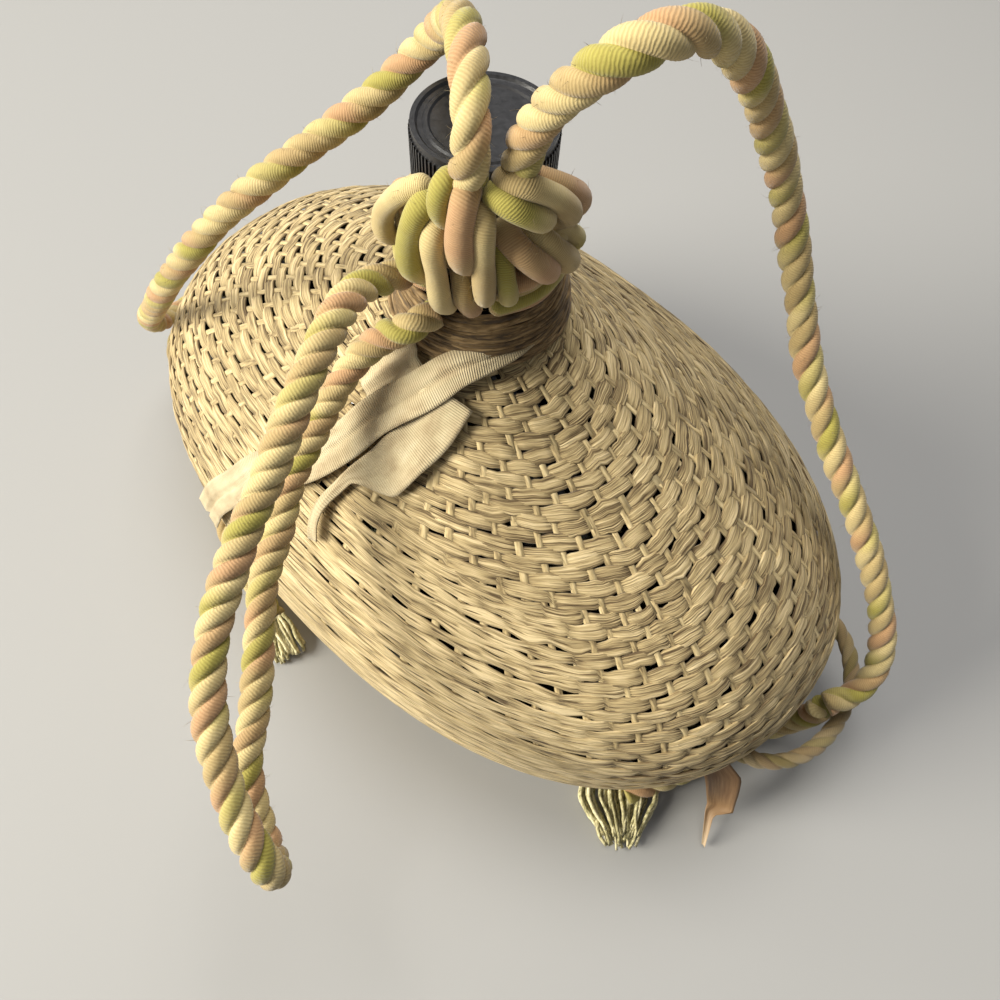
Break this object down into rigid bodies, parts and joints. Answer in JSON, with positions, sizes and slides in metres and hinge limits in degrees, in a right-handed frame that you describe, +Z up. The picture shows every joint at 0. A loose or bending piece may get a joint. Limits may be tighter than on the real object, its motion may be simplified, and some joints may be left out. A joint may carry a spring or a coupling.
{
  "type": "wicker-covered bottle",
  "caption": "Oval glass spirits bottle in a woven wicker cover, with a black screw cap, knotted rope carrying handle, cord lugs, frayed rope ends and a ribbon.",
  "frame": {"origin": "middle of the base on the surface it stands on", "axes": "+X along the long axis to the lug with the leaf tab, +Y to the back broad side, +Z up the neck"},
  "size_m": [0.2732, 0.2053, 0.2098],
  "materials": {
    "glass": "clear",
    "cap": "semi-gloss",
    "liner": "matte",
    "weft": "dry straw fibre",
    "stake": "dry cane",
    "collar": "wrapped fibre",
    "rope": "laid sisal",
    "tassel": "frayed yarn",
    "lug": "wrapped cord",
    "ribbon": "ribbed ribbon",
    "leaf": "dry leaf"
  },
  "bodies": {
    "bottle": {"glass_bottle": "glass", "base_mat": "stake", "stake_frame": "stake", "weft_course_01": "weft", "weft_course_02": "weft", "weft_course_03": "weft", "weft_course_04": "weft", "weft_course_05": "weft", "weft_course_06": "weft", "weft_course_07": "weft", "weft_course_08": "weft", "weft_course_09": "weft", "weft_course_10": "weft", "weft_course_11": "weft", "weft_course_12": "weft", "weft_course_13": "weft", "weft_course_14": "weft", "weft_course_15": "weft", "weft_course_16": "weft", "neck_collar": "collar", "neck_turn_upper": "rope", "neck_turn_lower": "rope", "knot_turn_middle": "rope", "knot_turn_left": "rope", "lug_right": "lug", "lug_left": "lug", "rope_tail_right": "rope", "rope_tail_left": "rope", "tassel_right": "tassel", "tassel_left": "tassel", "ribbon_long_tail": "ribbon", "ribbon_short_tail": "ribbon", "ribbon_fold": "ribbon", "leaf_tab": "leaf"},
    "cap_carrier": {"cap_liner": "liner"},
    "cap": {"cap_shell": "cap"},
    "right_handle": {"right_handle_rope": "rope"},
    "left_handle": {"left_handle_rope": "rope"},
    "hanging_loop": {"hanging_loop_rope": "rope"}
  },
  "joints": [
    {"name": "cap_lift", "type": "slide", "parent": "bottle", "child": "cap_carrier", "axis": [0, 0, 1], "range_m": [0, 0.0045]},
    {"name": "cap_turn", "type": "hinge", "parent": "cap_carrier", "child": "cap", "pos_m": [-0.0036, 0, 0.16], "axis": [0, 0, 1], "range_deg": [0, 540]},
    {"name": "right_handle_swing", "type": "hinge", "parent": "bottle", "child": "right_handle", "pos_m": [0.01441, -0.00958, 0.174], "axis": [0.6301, 0.1317, -0.7653], "range_deg": [-10, 28]},
    {"name": "left_handle_swing", "type": "hinge", "parent": "bottle", "child": "left_handle", "pos_m": [0.00822, -0.01687, 0.173], "axis": [-0.7055, 0.015, -0.7085], "range_deg": [-3, 5]},
    {"name": "hanging_loop_swing", "type": "hinge", "parent": "bottle", "child": "hanging_loop", "pos_m": [-0.0066, -0.0254, 0.1426], "axis": [0.3884, -0.0152, -0.9214], "range_deg": [-15, 15]}
  ],
  "couplings": [
    {"joint": "cap_lift", "follows": "cap_turn", "m_per_rad": 0.00047746}
  ]
}
